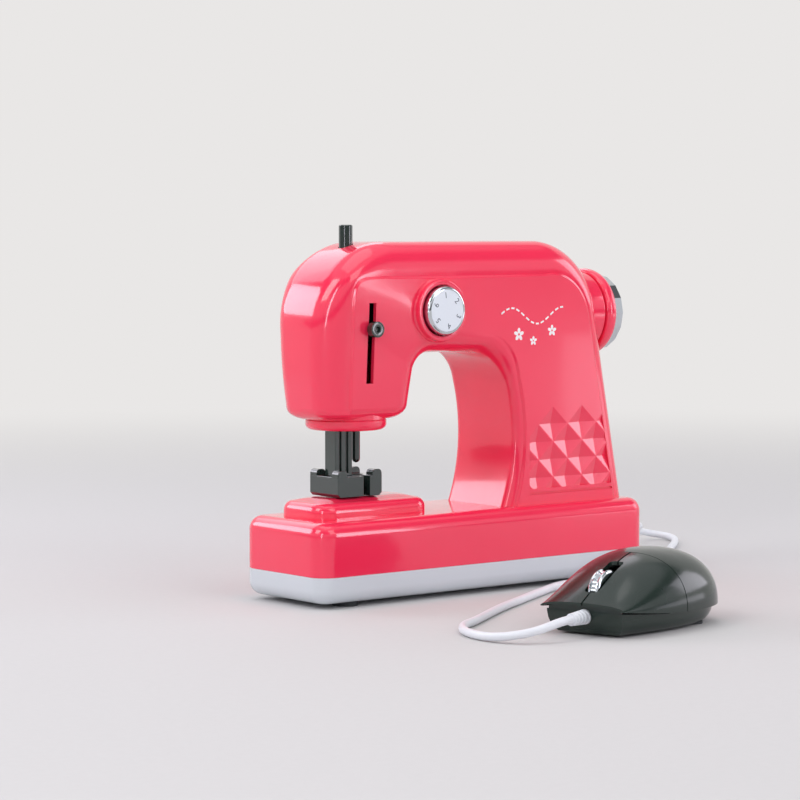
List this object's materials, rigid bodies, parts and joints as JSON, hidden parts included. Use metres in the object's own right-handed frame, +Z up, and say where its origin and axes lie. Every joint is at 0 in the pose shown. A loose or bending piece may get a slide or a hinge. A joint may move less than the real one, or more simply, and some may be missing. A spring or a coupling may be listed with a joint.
{
  "type": "toy sewing machine with pedal",
  "caption": "Toy sewing machine with a rounded arm, studded column, handwheel, dial, presser foot and needle, joined by a cord to a pedal shaped like a computer mouse",
  "frame": {"origin": "On the table, below the middle of the box round the machine and its pedal, without the cord", "axes": "+X along the base from the head to the handwheel, +Y to the back, +Z up"},
  "size_m": [0.3516, 0.2832, 0.188],
  "materials": {
    "pink_plastic": "glossy moulded pink",
    "pale_plastic": "glossy moulded pale grey",
    "dark_plastic": "moulded dark grey-green",
    "pedal_plastic": "glossy moulded green-black",
    "bright_plating": "bright plated plastic",
    "dial_print": "pale disc with grey marks",
    "gear_plastic": "natural white moulded",
    "steel": "plain steel",
    "frame_plastic": "grey moulded",
    "board": "green circuit board",
    "black_plastic": "black moulded",
    "foot_rubber": "soft dark pads",
    "cord_jacket": "white cord jacket"
  },
  "bodies": {
    "machine": {"base_housing": "pink_plastic", "needle_plate": "pink_plastic", "arm_front_shell": "pink_plastic", "arm_rear_shell": "pink_plastic", "head_collar": "pink_plastic", "shaft_collar": "pink_plastic", "base_tray": "pale_plastic", "battery_door": "pale_plastic", "cord_gland": "pale_plastic", "strain_relief": "pale_plastic", "pedal_base": "pedal_plastic", "pedal_top": "pedal_plastic", "battery_door_screw": "steel", "battery_contacts": "steel", "base_screws": "steel", "shell_screws": "steel", "arm_screws": "steel", "chassis_screws": "steel", "motor": "steel", "motor_strap": "steel", "pedal_screws": "steel", "pedal_pin": "steel", "scroll_axle": "steel", "chassis": "frame_plastic", "circuit_board": "board", "pedal_board": "board", "speaker": "black_plastic", "pedal_switches": "black_plastic", "base_feet": "foot_rubber", "pedal_feet": "foot_rubber", "cord": "cord_jacket"},
    "drive": {"main_shaft": "steel", "handwheel_rim": "pink_plastic", "handwheel_cap": "bright_plating", "drive_gear": "gear_plastic", "crank_disc": "dark_plastic"},
    "motor_rotor": {"motor_pinion": "gear_plastic"},
    "needle": {"needle_bar": "dark_plastic", "needle_yoke": "dark_plastic", "needle_rod": "dark_plastic", "take_up_lever": "dark_plastic"},
    "presser": {"presser_bar": "dark_plastic", "presser_foot": "dark_plastic"},
    "dial": {"dial_knob": "bright_plating", "dial_face": "dial_print", "dial_clip": "steel"},
    "button_left": {"pedal_button_left": "pedal_plastic"},
    "button_right": {"pedal_button_right": "pedal_plastic"},
    "scroll": {"scroll_wheel": "bright_plating"}
  },
  "joints": [
    {"name": "handwheel_spin", "type": "hinge", "parent": "machine", "child": "drive", "pos_m": [0.094, 0.08073, 0.141], "axis": [1, 0, 0], "continuous": true},
    {"name": "motor_spin", "type": "hinge", "parent": "machine", "child": "motor_rotor", "pos_m": [0.0475, 0.08073, 0.1178], "axis": [1, 0, 0], "continuous": true},
    {"name": "needle_slide", "type": "slide", "parent": "machine", "child": "needle", "axis": [0, 0, 1], "range_m": [-0.012, 0.008]},
    {"name": "presser_lift", "type": "slide", "parent": "machine", "child": "presser", "axis": [0, 0, 1], "range_m": [0, 0.006], "stiffness_N_per_m": 60, "springref_m": -0.002},
    {"name": "dial_turn", "type": "hinge", "parent": "machine", "child": "dial", "pos_m": [-0.03, 0.05473, 0.145], "axis": [0, 1, 0], "continuous": true},
    {"name": "left_press", "type": "hinge", "parent": "machine", "child": "button_left", "pos_m": [-0.03051, -0.08152, 0.02], "axis": [-0.2756, 0.9613, 0], "range_deg": [-1, 0], "stiffness_Nm_per_rad": 0.5},
    {"name": "right_press", "type": "hinge", "parent": "machine", "child": "button_right", "pos_m": [-0.03051, -0.08152, 0.02], "axis": [-0.2756, 0.9613, 0], "range_deg": [-1, 0], "stiffness_Nm_per_rad": 0.5},
    {"name": "scroll_turn", "type": "hinge", "parent": "machine", "child": "scroll", "pos_m": [-0.04877, -0.08676, 0.01806], "axis": [-0.2756, 0.9613, 0], "continuous": true}
  ],
  "couplings": [
    {"joint": "motor_spin", "follows": "handwheel_spin", "ratio": -2.2857}
  ]
}
